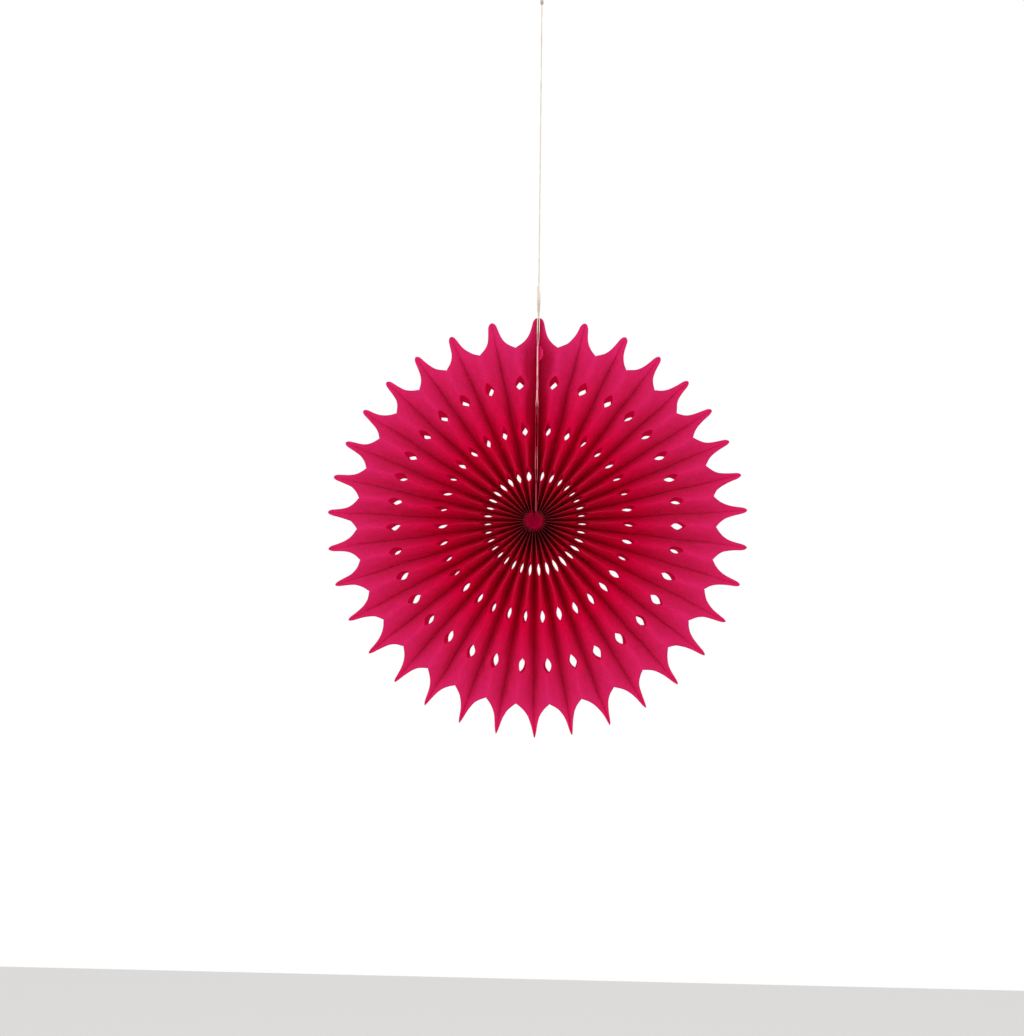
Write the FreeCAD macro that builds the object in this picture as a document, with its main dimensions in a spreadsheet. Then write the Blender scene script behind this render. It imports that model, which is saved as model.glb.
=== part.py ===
import FreeCAD, Part
import Sketcher
import math
import os

# Paper fan rosette, opened full circle and hung by a cotton thread from the top of its seam.
# Millimetres. +Z is up, the front looks toward -Y, the origin is the centre of the hub.
# The tissue body is one bonded stack of die-cut leaves. Each leaf stands on its edge: its middle
# line lies on a spike at mid depth, its two long edges are the front and the back ridge. Two
# leaves glued edge to edge make one hollow cell, and cells are glued to each other on the
# middle lines. Half-diamond notches in the leaf edges open into the rings of holes.

Vector = FreeCAD.Vector

SIZES = [
    ("tip_radius", 200.0, "hub centre to the tip of a spike"),
    ("spike_length", 32.5, "tip of a spike to the bottom of the notch beside it"),
    ("spike_tip_half", 3.6, "half width of the leaf where its spike ends"),
    ("spike_tip_cut", 2.4, "half width left after the corners of that end are rounded"),
    ("spike_taper", 8.9, "half width that the spike gains evenly along its length"),
    ("spike_flare", 4.0, "power of the curve that gives the rest of its half width"),
    ("leaf_half_width", 25.0, "middle line of a leaf to its long edge"),
    ("tissue_wall", 0.4, "bonded wall of a cell"),
    ("glue_band", 1.5, "depth of the glue line between two cells"),
    ("cell_count", 34.0, "cells in the full circle"),
    ("seam_opening", 0.15, "extra width of the cell beside the seam, as a share"),
    ("seam_fade", 1.5, "cells over which that extra width fades"),
    ("double_sway", 1.0, "degrees by which the spikes sway round the circle in two waves"),
    ("triple_sway", 0.65, "degrees by which they sway in three waves"),
    ("skew_sway", 0.37, "degrees by which the two halves of the fan open unlike each other"),
    ("hub_radius", 10.0, "bonded inner ends of the leaves"),
    ("hub_dimple", 1.0, "how far the middle of the hub lies below its rim"),
    ("hub_wedge", 3.0, "height of the bottom of the wedge gap above the hub centre"),
    ("inner_ring", 44.5, "hub centre to the inner ring of holes"),
    ("middle_ring", 88.0, "hub centre to the middle ring of holes"),
    ("outer_ring", 133.0, "hub centre to the outer ring of holes"),
    ("inner_hole_half", 7.2, "half length of an inner hole"),
    ("middle_hole_half", 7.0, "half length of a middle hole"),
    ("outer_hole_half", 7.0, "half length of an outer hole"),
    ("inner_notch", 12.0, "depth of the half-diamond notch in a leaf edge for an inner hole"),
    ("middle_notch", 8.5, "depth of that notch for a middle hole"),
    ("outer_notch", 7.5, "depth of that notch for an outer hole"),
    ("board_thickness", 0.6, "card of an end board"),
    ("board_gap", 1.2, "space between the two end boards"),
    ("board_start", 12.0, "height of the inner end of a board above the hub centre"),
    ("tape_width", 24.0, "tape pad, front to back"),
    ("tape_height", 12.0, "tape pad, along the seam"),
    ("lower_tape", 24.0, "height of the lower tape pad above the hub centre"),
    ("middle_tape", 62.0, "height of the middle tape pad"),
    ("upper_tape", 104.0, "height of the upper tape pad, which holds the end of the thread"),
    ("thread_size", 1.1, "diameter of the cotton thread"),
    ("thread_drop", 310.0, "tip of the seam to the knot of the hanging loop"),
    ("tail_clearance", 0.05, "space between the thread and the tails laid along it"),
    ("tail_hidden", 34.0, "length of a tail between the boards, below the tip of the seam"),
    ("tail_turn", 14.0, "length over which the tails turn from front and back to left and right"),
    ("tail_bulge", 1.12, "share of their pitch at which the tails pass the middle of that turn"),
    ("left_tail_rise", 31.0, "tip of the seam to the cut end of the left tail"),
    ("right_tail_rise", 26.0, "tip of the seam to the cut end of the right tail"),
    ("knot_size", 3.6, "diameter of the loop's knot"),
    ("knot_height", 4.5, "height of the loop's knot"),
    ("loop_radius", 6.0, "top bend of the hanging loop, to the middle of the thread"),
    ("loop_height", 24.0, "knot to the top of the hanging loop, to the middle of the thread"),
]

# Flank points of a spike, as shares of the spike's length measured from its tip
FLANK_SHARES = (0.12, 0.5, 0.8)

# Share of the shorter run beside a turn that the arc of a bent tail takes up
ARC_SHARE = 0.45

# Flat sides of the thread and of its knot, whose corners lie on the round outline
THREAD_SIDES = 8

# Straight runs of the loop's top bend, and the sweep option that mitres them
LOOP_RUNS = 12
SHARP_CORNERS = 1


def make_sheet(doc):
    """The spreadsheet with every driving dimension, one row each."""
    sheet = doc.addObject("Spreadsheet::Sheet", "sizes")
    for row, (alias, value, note) in enumerate(SIZES, start=1):
        sheet.set("A%d" % row, note)
        sheet.set("B%d" % row, str(value))
        sheet.setAlias("B%d" % row, alias)
    doc.recompute()
    return sheet


# Outline of a leaf

def flank_half_width(sheet, drop):
    """Half width of the leaf at a distance below the tip of its spike."""
    share = drop / sheet.spike_length
    flare = sheet.leaf_half_width - sheet.spike_tip_half - sheet.spike_taper
    return sheet.spike_tip_half + sheet.spike_taper * share + flare * share ** sheet.spike_flare


def flank_drops(sheet):
    """Distances below the tip at which the flank has a point."""
    return [share * sheet.spike_length for share in FLANK_SHARES]


def rings(sheet):
    """Radius, half length and notch depth of the holes of each ring, from the hub outwards."""
    return [
        (sheet.inner_ring, sheet.inner_hole_half, sheet.inner_notch),
        (sheet.middle_ring, sheet.middle_hole_half, sheet.middle_notch),
        (sheet.outer_ring, sheet.outer_hole_half, sheet.outer_notch),
    ]


def station_radii(sheet):
    """Radii at which a leaf is creased: hub, three rings, notch bottom and tip."""
    ring_radii = [radius for radius, half, notch in rings(sheet)]
    return [sheet.hub_radius] + ring_radii + [sheet.tip_radius - sheet.spike_length,
                                              sheet.tip_radius]


# Where the cells lie round the circle

def seam_half(sheet):
    """Half of everything in the seam: board gap, boards and the two end leaves."""
    return sheet.board_gap / 2 + sheet.board_thickness + sheet.tissue_wall


def sway(sheet, angle):
    """How far a spike stands from its even place, because the fan is opened by hand."""
    degrees = (sheet.double_sway * math.sin(2 * angle)
               + sheet.triple_sway * math.sin(3 * angle)
               + sheet.skew_sway * (math.cos(2 * angle) - 1))
    return math.radians(degrees)


def spike_angles(sheet):
    """Angle of each spike, clockwise from the seam, with wider cells beside the seam."""
    count = int(sheet.cell_count)
    shares = []
    for cell in range(count):
        steps = min(cell, count - 1 - cell)
        shares.append(1 + sheet.seam_opening * math.exp(-steps / sheet.seam_fade))
    even = [0.0]
    for share in shares:
        even.append(even[-1] + 2 * math.pi * share / sum(shares))
    return [angle + sway(sheet, angle) for angle in even]


def bearing(sheet, angle, radius):
    """Angle at a radius, once the circle is squeezed to leave room for the seam."""
    seam = math.asin(seam_half(sheet) / radius)
    return seam + angle * (math.pi - seam) / math.pi


def polar(radius, angle, depth):
    """Point at a radius and an angle clockwise from up, seen from the front."""
    return Vector(radius * math.sin(angle), depth, radius * math.cos(angle))


# Plane geometry helpers

def along(start, end, share):
    """Point at a share of the way from start to end."""
    return start + (end - start) * share


def flat_length(start, end):
    """Distance between two points as seen from the front."""
    return math.hypot(end.x - start.x, end.z - start.z)


def crossing(start, end, first, second):
    """Point of the line start-end that lies, seen from the front, on the line first-second."""
    run = second - first
    numerator = (first.x - start.x) * run.z - (first.z - start.z) * run.x
    divisor = (end.x - start.x) * run.z - (end.z - start.z) * run.x
    return along(start, end, numerator / divisor)


def on_plane(point, corner, second, third):
    """The point moved front to back until it lies in the plane of three corners."""
    normal = (second - corner).cross(third - corner)
    rise = normal.x * (point.x - corner.x) + normal.z * (point.z - corner.z)
    return Vector(point.x, corner.y - rise / normal.y, point.z)


def flat_face(points):
    """Planar face with these corners."""
    return Part.Face(Part.makePolygon(list(points) + [points[0]]))


# One quarter of a cell: the half leaf from a valley to a ridge, on one face of the fan

class Quarter:
    """Outer and inner surface of a half leaf, with the walls of its cut edges."""

    def __init__(self, sheet, valley_angle, ridge_angle, face):
        self.sheet = sheet
        self.face = face
        self.radii = station_radii(sheet)
        self.outer_valley, self.outer_ridge = [], []
        self.inner_valley, self.inner_ridge = [], []
        for radius in self.radii:
            start = bearing(sheet, valley_angle, radius)
            self.outer_valley.append(polar(radius, start, face * sheet.glue_band / 2))
        for radius, valley in zip(self.radii[:-1], self.outer_valley):
            self.add_ridge(radius, valley, valley_angle, ridge_angle)
        sideways = self.outer_ridge[-1] - self.outer_valley[4]
        self.end_span = flat_length(self.outer_valley[4], self.outer_ridge[-1])
        self.side = Vector(sideways.x / self.end_span, 0, sideways.z / self.end_span)
        inner_tip = self.outer_valley[5] + self.side * sheet.tissue_wall
        self.inner_valley.append(Vector(inner_tip.x, 0, inner_tip.z))
        self.build_layers()

    def add_ridge(self, radius, valley, valley_angle, ridge_angle):
        """Ridge and inner corners of the station at this radius."""
        sheet = self.sheet
        ridge_bearing = bearing(sheet, ridge_angle, radius)
        half = abs(ridge_bearing - bearing(sheet, valley_angle, radius))
        span = radius * math.tan(half)
        depth = math.sqrt(sheet.leaf_half_width ** 2 - span ** 2)
        wall_depth = sheet.tissue_wall * sheet.leaf_half_width / span
        ridge = polar(radius / math.cos(half), ridge_bearing, self.face * depth)
        inner = along(valley, ridge, sheet.tissue_wall / span)
        self.outer_ridge.append(ridge)
        self.inner_ridge.append(Vector(ridge.x, self.face * (depth - wall_depth), ridge.z))
        self.inner_valley.append(Vector(inner.x, 0, inner.z))

    def build_layers(self):
        """Hole corners and flank points of both surfaces."""
        self.outer = self.layer(self.outer_valley, self.outer_ridge)
        self.inner = self.layer(self.inner_valley, self.inner_ridge)

    def layer(self, valley, ridge):
        """Corners of one surface: holes before, at and after each ring, then the flank."""
        sheet = self.sheet
        before, deep, after, crease = {}, {}, {}, {}
        for ring, (radius, half, notch) in enumerate(rings(sheet), start=1):
            back_step = radius - self.radii[ring - 1]
            next_step = self.radii[ring + 1] - radius
            before[ring] = along(ridge[ring], ridge[ring - 1], half / back_step)
            after[ring] = along(ridge[ring], ridge[ring + 1], half / next_step)
            outer_span = flat_length(self.outer_valley[ring], self.outer_ridge[ring])
            reach = outer_span * notch / sheet.leaf_half_width
            deep[ring] = along(ridge[ring], valley[ring],
                               reach / flat_length(ridge[ring], valley[ring]))
            crease[ring] = crossing(valley[ring - 1], ridge[ring], before[ring], deep[ring])
        return {
            "valley": valley, "ridge": ridge, "before": before, "deep": deep,
            "after": after, "crease": crease, "flank": self.flank(valley, ridge),
        }

    def flank(self, valley, ridge):
        """Edge of the spike from the notch bottom to the tip, in the plane of its end."""
        sheet = self.sheet
        edge = []
        for drop in reversed([0.0] + flank_drops(sheet)):
            half_width = flank_half_width(sheet, drop) if drop else sheet.spike_tip_cut
            foot = along(self.outer_valley[5], self.outer_valley[4], drop / sheet.spike_length)
            spread = self.end_span * (sheet.tip_radius - drop) / self.radii[4]
            point = foot + self.side * (spread * half_width / sheet.leaf_half_width)
            edge.append(on_plane(point, valley[4], valley[5], ridge[4]))
        return edge

    def surface(self, layer):
        """Flat facets of one surface, two for each stretch between rings and one at the tip."""
        valley, ridge = layer["valley"], layer["ridge"]
        facets = []
        for ring in (1, 2, 3):
            start = [valley[ring - 1]]
            if ring > 1:
                start += [layer["deep"][ring - 1], layer["after"][ring - 1]]
            else:
                start += [ridge[0]]
            facets.append(start + [layer["before"][ring], layer["crease"][ring]])
            facets.append([valley[ring - 1], layer["crease"][ring], layer["deep"][ring],
                           valley[ring]])
        facets.append([valley[3], layer["deep"][3], layer["after"][3], ridge[4]])
        facets.append([valley[3], ridge[4], valley[4]])
        facets.append([valley[4], ridge[4]] + layer["flank"] + [valley[5]])
        return facets

    def cut_walls(self):
        """Walls of the holes and of the flank, between the outer and the inner surface."""
        outer, inner = self.outer, self.inner
        walls = []
        for ring in (1, 2, 3):
            walls.append([outer["before"][ring], outer["crease"][ring], outer["deep"][ring],
                          inner["deep"][ring], inner["crease"][ring], inner["before"][ring]])
            walls.append([outer["deep"][ring], outer["after"][ring],
                          inner["after"][ring], inner["deep"][ring]])
        outer_edge = [outer["ridge"][4]] + outer["flank"]
        inner_edge = [inner["ridge"][4]] + inner["flank"]
        for step in range(len(outer_edge) - 1):
            walls.append([outer_edge[step], outer_edge[step + 1],
                          inner_edge[step + 1], inner_edge[step]])
        return walls

    def facets(self):
        """Every facet of this quarter."""
        return self.surface(self.outer) + self.surface(self.inner) + self.cut_walls()


def end_wall(front, back):
    """Cut end of half a spike, across its front and back layers."""
    return [front.outer["valley"][5], front.outer["flank"][-1], front.inner["flank"][-1],
            front.inner["valley"][5], back.inner["flank"][-1], back.outer["flank"][-1],
            back.outer["valley"][5]]


def hollow_start(front, back):
    """Inner end of a cell's hollow at the hub, on one side of its ridge."""
    return [front.inner["valley"][0], front.inner["ridge"][0], back.inner["ridge"][0]]


# The flat end leaf glued on a board

def leaf_edge(sheet, heights):
    """Height and half width of the points of a leaf's edge, from the tip down to the hub."""
    points = [(heights[5], sheet.spike_tip_cut)]
    for drop in flank_drops(sheet):
        height = heights[5] + (heights[4] - heights[5]) * drop / sheet.spike_length
        points.append((height, flank_half_width(sheet, drop)))
    points.append((heights[4], sheet.leaf_half_width))
    for ring in (3, 2, 1):
        radius, half, notch = rings(sheet)[ring - 1]
        points.append((heights[ring] + half, sheet.leaf_half_width))
        points.append((heights[ring], sheet.leaf_half_width - notch))
        points.append((heights[ring] - half, sheet.leaf_half_width))
    points.append((heights[0], sheet.leaf_half_width))
    return points


def end_leaf(sheet, side, quarters):
    """Facets of the leaf on one board, side +1 on the right and -1 on the left."""
    outer_x = side * seam_half(sheet)
    board_x = side * (seam_half(sheet) - sheet.tissue_wall)
    heights = [point.z for point in quarters[0].outer_valley]
    edge = leaf_edge(sheet, heights)
    facets = []
    for face, quarter in zip((-1, 1), quarters):
        shown = [Vector(outer_x, face * width, height) for height, width in edge]
        hidden = [Vector(board_x, face * width, height) for height, width in edge]
        facets.append(shown + quarter.outer_valley)
        for step in range(len(edge) - 1):
            facets.append([shown[step], shown[step + 1], hidden[step + 1], hidden[step]])
    front = [Vector(board_x, -width, height) for height, width in edge]
    back = [Vector(board_x, width, height) for height, width in edge]
    facets.append(front + back[::-1])
    tip_front = Vector(outer_x, -edge[0][1], edge[0][0])
    tip_back = Vector(outer_x, edge[0][1], edge[0][0])
    facets.append([front[0], tip_front, quarters[0].outer_valley[5],
                   quarters[1].outer_valley[5], tip_back, back[0]])
    return facets


# The hub, where the inner ends of all the leaves are bonded

def hub_face(sheet, ridges, grooves, face):
    """Cap of the hub and the ends of the grooves beside it, on one face of the fan."""
    centre = Vector(0, face * (sheet.leaf_half_width - sheet.hub_dimple), 0)
    height = grooves[0].z
    width = face * sheet.leaf_half_width
    outer_x = seam_half(sheet)
    board_x = outer_x - sheet.tissue_wall
    wedge = Vector(0, width, sheet.hub_wedge)
    right_seam = [wedge, Vector(board_x, width, height), Vector(outer_x, width, height)]
    left_seam = [Vector(-outer_x, width, height), Vector(-board_x, width, height), wedge]
    rim = right_seam + ridges + left_seam
    facets = []
    for step in range(len(rim) - 1):
        facets.append([centre, rim[step], rim[step + 1]])
    shoulders = [right_seam[-1]] + ridges + [left_seam[0]]
    for groove, start, end in zip(grooves, shoulders[:-1], shoulders[1:]):
        facets.append([groove, start, end])
    return facets


def hub_wedge(sheet, height):
    """Two faces of the wedge gap between the hub and the inner ends of the boards."""
    board_x = seam_half(sheet) - sheet.tissue_wall
    width = sheet.leaf_half_width
    facets = []
    for side in (-1, 1):
        facets.append([Vector(side * board_x, -width, height), Vector(0, -width, sheet.hub_wedge),
                       Vector(0, width, sheet.hub_wedge), Vector(side * board_x, width, height)])
    return facets


def tissue_body(sheet):
    """Solid of the whole bonded tissue stack, sewn from its facets."""
    angles = spike_angles(sheet)
    count = len(angles) - 1
    facets = []
    cells = []
    for cell in range(count):
        ridge = (angles[cell] + angles[cell + 1]) / 2
        sides = []
        for valley in (angles[cell], angles[cell + 1]):
            front = Quarter(sheet, valley, ridge, -1)
            back = Quarter(sheet, valley, ridge, 1)
            facets += front.facets() + back.facets()
            facets.append(end_wall(front, back))
            facets.append(hollow_start(front, back))
            sides.append((front, back))
        cells.append(sides)
    facets += end_leaf(sheet, 1, cells[0][0])
    facets += end_leaf(sheet, -1, cells[-1][1])
    for layer, face in enumerate((-1, 1)):
        ridges = [sides[0][layer].outer_ridge[0] for sides in cells]
        grooves = [sides[0][layer].outer_valley[0] for sides in cells]
        grooves.append(cells[-1][1][layer].outer_valley[0])
        facets += hub_face(sheet, ridges, grooves, face)
    facets += hub_wedge(sheet, cells[0][0][0].outer_valley[0].z)
    shell = Part.makeShell([flat_face(points) for points in facets])
    shell.sewShape()
    solid = Part.makeSolid(shell)
    if solid.Volume < 0:
        solid.reverse()
    return solid


def make_tissue(doc, sheet):
    """The pleated tissue body as one document object."""
    tissue = doc.addObject("Part::Feature", "tissue_rosette")
    tissue.Label = "tissue_rosette"
    tissue.Shape = tissue_body(sheet)
    tissue.Placement = FreeCAD.Placement()
    return tissue


# End boards: die-cut card with the outline of a leaf

def board_outline():
    """Corners of half a board as pairs of expressions: distance from its middle, height."""
    corners = [("0", "sizes.board_start"), ("sizes.leaf_half_width", "sizes.board_start")]
    for ring in ("inner", "middle", "outer"):
        radius = "sizes.%s_ring" % ring
        half = "sizes.%s_hole_half" % ring
        corners.append(("sizes.leaf_half_width", "%s - %s" % (radius, half)))
        corners.append(("sizes.leaf_half_width - sizes.%s_notch" % ring, radius))
        corners.append(("sizes.leaf_half_width", "%s + %s" % (radius, half)))
    corners.append(("sizes.leaf_half_width", "sizes.tip_radius - sizes.spike_length"))
    for share in reversed(FLANK_SHARES):
        flare = "(sizes.leaf_half_width - sizes.spike_tip_half - sizes.spike_taper)"
        width = ("sizes.spike_tip_half + sizes.spike_taper * %s + %s * pow(%s; sizes.spike_flare)"
                 % (share, flare, share))
        corners.append((width, "sizes.tip_radius - %s * sizes.spike_length" % share))
    corners.append(("sizes.spike_tip_cut", "sizes.tip_radius"))
    corners.append(("0", "sizes.tip_radius"))
    return corners


def origin_plane(body, role):
    """One of the body's own origin planes."""
    return [item for item in body.Origin.OriginFeatures if item.Role == role][0]


def polygon_sketch(body, name, sheet, corners):
    """Closed sketch on the body's YZ plane, each corner placed by its own two expressions."""
    sketch = body.newObject("Sketcher::SketchObject", name)
    sketch.AttachmentSupport = [(origin_plane(body, "YZ_Plane"), "")]
    sketch.MapMode = "FlatFace"
    points = [Vector(measure(sheet, across), measure(sheet, up), 0) for across, up in corners]
    count = len(points)
    for index in range(count):
        sketch.addGeometry(Part.LineSegment(points[index], points[(index + 1) % count]), False)
    for index in range(count):
        sketch.addConstraint(Sketcher.Constraint("Coincident", index, 2, (index + 1) % count, 1))
    for index, (across, up) in enumerate(corners):
        for kind, expression, value in (("DistanceX", across, points[index].x),
                                        ("DistanceY", up, points[index].y)):
            number = sketch.addConstraint(Sketcher.Constraint(kind, index, 1, value))
            if expression != "0":
                label = "%s_%d" % (kind, index)
                sketch.renameConstraint(number, label)
                sketch.setExpression("Constraints." + label, expression)
    return sketch


def measure(sheet, expression):
    """Value of a sheet expression, as the document works it out."""
    return float(sheet.evalExpression(expression))


def make_board(doc, sheet, label, place):
    """One end board, padded from half its outline and mirrored about the middle."""
    body = doc.addObject("PartDesign::Body", label)
    body.Label = label
    sketch = polygon_sketch(body, label + "_outline", sheet, board_outline())
    pad = body.newObject("PartDesign::Pad", label + "_card")
    pad.Profile = sketch
    pad.setExpression("Length", "sizes.board_thickness")
    doc.recompute()
    mirrored = body.newObject("PartDesign::Mirrored", label + "_both_halves")
    mirrored.Originals = [pad]
    mirrored.MirrorPlane = (origin_plane(body, "XZ_Plane"), [""])
    body.Tip = mirrored
    body.setExpression("Placement.Base.x", place)
    return body


def make_tape(doc, label, height):
    """Double-sided tape pad that closes the seam between the boards."""
    pad = doc.addObject("Part::Box", label)
    pad.Label = label
    pad.setExpression("Length", "sizes.board_gap")
    pad.setExpression("Width", "sizes.tape_width")
    pad.setExpression("Height", "sizes.tape_height")
    pad.setExpression("Placement.Base.x", "-sizes.board_gap / 2")
    pad.setExpression("Placement.Base.y", "-sizes.tape_width / 2")
    pad.setExpression("Placement.Base.z", height)
    return pad


# Thread, tails, knot and loop

def make_prism(doc, label, size, height, foot):
    """Upright prism with the flat sides of a thread: diameter, height and foot as expressions."""
    prism = doc.addObject("Part::Prism", label)
    prism.Label = label
    prism.Polygon = THREAD_SIDES
    prism.setExpression("Circumradius", "%s / 2" % size)
    prism.setExpression("Height", height)
    prism.setExpression("Placement.Base.z", foot)
    return prism


def make_thread(doc):
    """The taut thread, from its end on the upper tape pad to the knot."""
    foot = "sizes.upper_tape + sizes.tape_height"
    height = "sizes.tip_radius + sizes.thread_drop - (%s)" % foot
    return make_prism(doc, "hanging_thread", "sizes.thread_size", height, foot)


def rounded_path(points):
    """Wire of straight runs joined by tangent arcs, and the radii of its arcs."""
    edges, radii = [], []
    start = points[0]
    for before, corner, after in zip(points[:-2], points[1:-1], points[2:]):
        back = before - corner
        ahead = after - corner
        shorter = min(back.Length, ahead.Length)
        back.normalize()
        ahead.normalize()
        turn = math.pi - back.getAngle(ahead)
        reach = ARC_SHARE * shorter
        radius = reach / math.tan(turn / 2)
        first = corner + back * reach
        last = corner + ahead * reach
        inward = back + ahead
        inward.normalize()
        middle = corner + inward * (radius / math.cos(turn / 2) - radius)
        edges.append(Part.LineSegment(start, first).toShape())
        edges.append(Part.Arc(first, middle, last).toShape())
        radii.append(radius)
        start = last
    edges.append(Part.LineSegment(start, points[-1]).toShape())
    return Part.Wire(edges), radii


def thread_ring(start, direction, size):
    """Closed outline of the thread, across a direction that has no share front to back."""
    across = direction.cross(Vector(0, 1, 0))
    across.normalize()
    corners = []
    for side in range(THREAD_SIDES + 1):
        turn = FreeCAD.Rotation(direction, 360.0 * (side % THREAD_SIDES) / THREAD_SIDES)
        corners.append(start + turn.multVec(across) * (size / 2))
    return Part.makePolygon(corners)


def tail_points(sheet, side, rise):
    """Route of one tail: straight between the boards, then round to the side of the thread."""
    size = sheet.thread_size
    pitch = size + sheet.tail_clearance
    room = sheet.board_gap / 2 - size / 2 - sheet.tail_clearance
    inside = Vector(side * room, side * math.sqrt(pitch ** 2 - room ** 2), 0)
    outside = Vector(side * pitch, 0, 0)
    between = (inside + outside).normalize() * (pitch * sheet.tail_bulge)
    turn_start = sheet.tip_radius + size
    heights = (sheet.tip_radius - sheet.tail_hidden, turn_start,
               turn_start + sheet.tail_turn / 2, turn_start + sheet.tail_turn,
               sheet.tip_radius + rise)
    places = (inside, inside, between, outside, outside)
    return [Vector(place.x, place.y, height) for place, height in zip(places, heights)]


def make_tail(doc, sheet, label, side, rise):
    """One tail of the thread, laid along the taut strand and pushed in between the boards."""
    points = tail_points(sheet, side, rise)
    path, radii = rounded_path(points)
    print(label, "bend radii", [round(radius, 1) for radius in radii])
    tail = doc.addObject("Part::Feature", label)
    tail.Label = label
    ring = thread_ring(points[0], points[1] - points[0], sheet.thread_size)
    tail.Shape = path.makePipeShell([ring], True, True)
    tail.Placement = FreeCAD.Placement()
    return tail


def knot_foot(sheet):
    """Height of the underside of the knot."""
    return sheet.tip_radius + sheet.thread_drop


def make_knot(doc):
    """The knot that closes the hanging loop."""
    foot = "sizes.tip_radius + sizes.thread_drop"
    return make_prism(doc, "loop_knot", "sizes.knot_size", "sizes.knot_height", foot)


def loop_points(sheet):
    """Corners of the hanging loop: up one side, over the top bend in short runs and down."""
    foot = knot_foot(sheet) + sheet.knot_height
    half = sheet.thread_size / 2 + sheet.tail_clearance
    centre = Vector(0, 0, foot + sheet.loop_height - sheet.loop_radius)
    reach = centre - Vector(-half, 0, foot)
    tilt = math.acos(sheet.loop_radius / reach.Length)
    touch = math.atan2(-reach.z, -reach.x) - tilt + 2 * math.pi
    sweep = 2 * touch - math.pi
    bend = []
    for step in range(LOOP_RUNS + 1):
        angle = touch - sweep * step / LOOP_RUNS
        bend.append(centre + Vector(math.cos(angle), 0, math.sin(angle)) * sheet.loop_radius)
    return [Vector(-half, 0, foot)] + bend + [Vector(half, 0, foot)]


def make_loop(doc, sheet):
    """The hanging loop above the knot."""
    loop = doc.addObject("Part::Feature", "hanging_loop")
    loop.Label = "hanging_loop"
    points = loop_points(sheet)
    ring = thread_ring(points[0], points[1] - points[0], sheet.thread_size)
    path = Part.makePolygon(points)
    loop.Shape = path.makePipeShell([ring], True, False, SHARP_CORNERS)
    loop.Placement = FreeCAD.Placement()
    print("hanging_loop bend radius", sheet.loop_radius)
    return loop


def check(doc, pieces):
    """Stop if any object failed or any piece is empty or invalid."""
    for item in doc.Objects:
        if "Invalid" in item.State or "Error" in item.State:
            raise RuntimeError("%s did not compute: %s" % (item.Name, item.State))
    for piece in pieces:
        if piece.Shape.isNull() or not piece.Shape.isValid():
            raise RuntimeError("%s has no valid shape" % piece.Label)
        if not piece.Shape.Solids or piece.Shape.Volume <= 0:
            raise RuntimeError("%s is not a solid" % piece.Label)


def main():
    """Build the document and write one STEP file for each piece."""
    os.makedirs("parts", exist_ok=True)
    doc = FreeCAD.newDocument("paper_fan_rosette")
    sheet = make_sheet(doc)
    pieces = [
        make_tissue(doc, sheet),
        make_board(doc, sheet, "board_left", "-sizes.board_gap / 2 - sizes.board_thickness"),
        make_board(doc, sheet, "board_right", "sizes.board_gap / 2"),
        make_tape(doc, "tape_lower", "sizes.lower_tape"),
        make_tape(doc, "tape_middle", "sizes.middle_tape"),
        make_tape(doc, "tape_upper", "sizes.upper_tape"),
        make_thread(doc),
        make_tail(doc, sheet, "thread_tail_left", -1, sheet.left_tail_rise),
        make_tail(doc, sheet, "thread_tail_right", 1, sheet.right_tail_rise),
        make_knot(doc),
        make_loop(doc, sheet),
    ]
    doc.recompute()
    check(doc, pieces)
    for piece in pieces:
        piece.Shape.exportStep("parts/%s.step" % piece.Label)
        print(piece.Label, "volume", round(piece.Shape.Volume, 2),
              "solids", len(piece.Shape.Solids), "faces", len(piece.Shape.Faces))


main()
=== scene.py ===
"""Paper fan rosette: pleated crimson tissue opened full circle, hung by a cotton thread.

Metres, +Z up, the front looks toward -Y and the origin is the centre of the hub.
"""
import logging
import math
from dataclasses import dataclass, field
from enum import Enum

import bmesh
import bpy
import numpy as np
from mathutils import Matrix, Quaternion, Vector


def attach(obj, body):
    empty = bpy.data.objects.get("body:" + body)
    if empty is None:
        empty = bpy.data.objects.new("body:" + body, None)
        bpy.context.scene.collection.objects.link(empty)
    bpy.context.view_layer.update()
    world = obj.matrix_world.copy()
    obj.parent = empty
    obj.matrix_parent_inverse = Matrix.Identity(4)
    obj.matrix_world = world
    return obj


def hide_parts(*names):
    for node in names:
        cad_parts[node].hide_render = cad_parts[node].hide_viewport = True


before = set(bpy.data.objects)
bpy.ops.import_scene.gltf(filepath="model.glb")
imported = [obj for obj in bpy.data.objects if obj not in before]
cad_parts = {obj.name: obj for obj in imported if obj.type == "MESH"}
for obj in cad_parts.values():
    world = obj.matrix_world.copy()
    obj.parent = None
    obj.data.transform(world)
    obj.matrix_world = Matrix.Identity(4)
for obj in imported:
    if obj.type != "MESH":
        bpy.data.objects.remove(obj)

LOG = logging.getLogger("rosette")
MM = 0.001


# Colour and node helpers

def colour(hex_code: str) -> tuple[float, float, float, float]:
    """Linear colour of an sRGB hex value.

    Args:
        hex_code: six hex digits.

    Returns:
        Red, green, blue and an alpha of 1.
    """
    shares = [int(hex_code[at:at + 2], 16) / 255 for at in (0, 2, 4)]
    linear = [s / 12.92 if s <= 0.04045 else ((s + 0.055) / 1.055) ** 2.4 for s in shares]
    return (linear[0], linear[1], linear[2], 1.0)


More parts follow.
